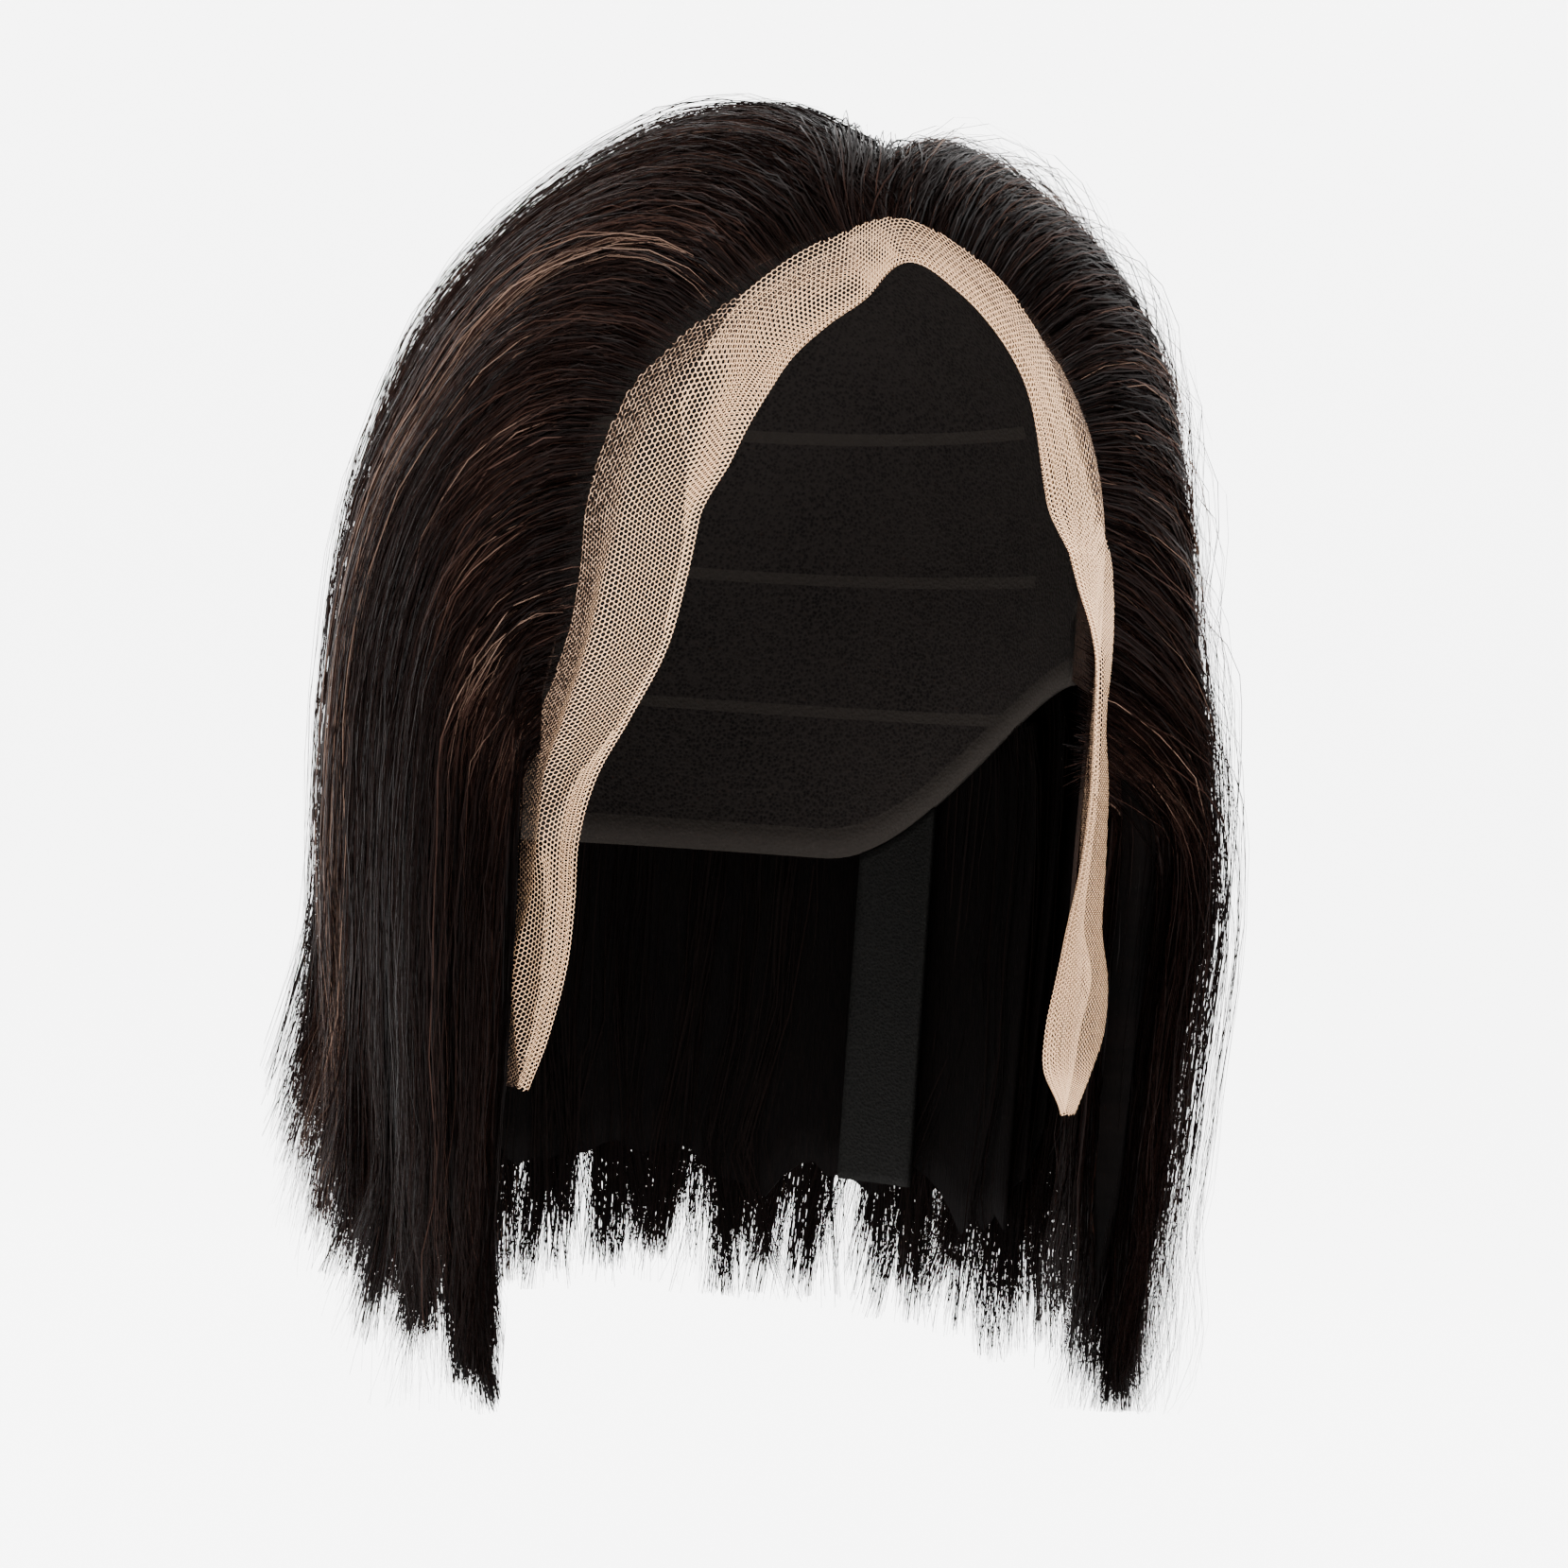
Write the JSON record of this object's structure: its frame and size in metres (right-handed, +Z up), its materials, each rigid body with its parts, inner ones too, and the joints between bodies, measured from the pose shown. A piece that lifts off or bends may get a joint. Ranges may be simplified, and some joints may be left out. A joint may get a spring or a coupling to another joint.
{
  "type": "bob wig",
  "caption": "Chin-to-shoulder bob wig: straight dark hair on a stretch cap, with a sheer lace front whose cut edge is folded back around the open face.",
  "frame": {"origin": "the inside of the crown of the cap, on the middle line, where it sits on a head", "axes": "+Z up, the open face looks along -Y, +X is the wearer's left"},
  "size_m": [0.2027, 0.2054, 0.3011],
  "materials": {
    "hair": "straight human hair, near black with a reddish brown sheen",
    "under_hair": "straight hair on sewn rows, darker where no light reaches",
    "cap_net": "dark stretch net, matt",
    "lace": "sheer honeycomb net, light tan thread",
    "strap": "dark flat woven band"
  },
  "bodies": {
    "root": {"cap": "cap_net", "lace_front": "lace", "nape_strap": "strap", "weft_upper": "under_hair", "weft_middle": "under_hair", "weft_lower": "under_hair", "back_hair": "hair", "front_hair_right": "hair", "front_hair_left": "hair"}
  },
  "joints": []
}
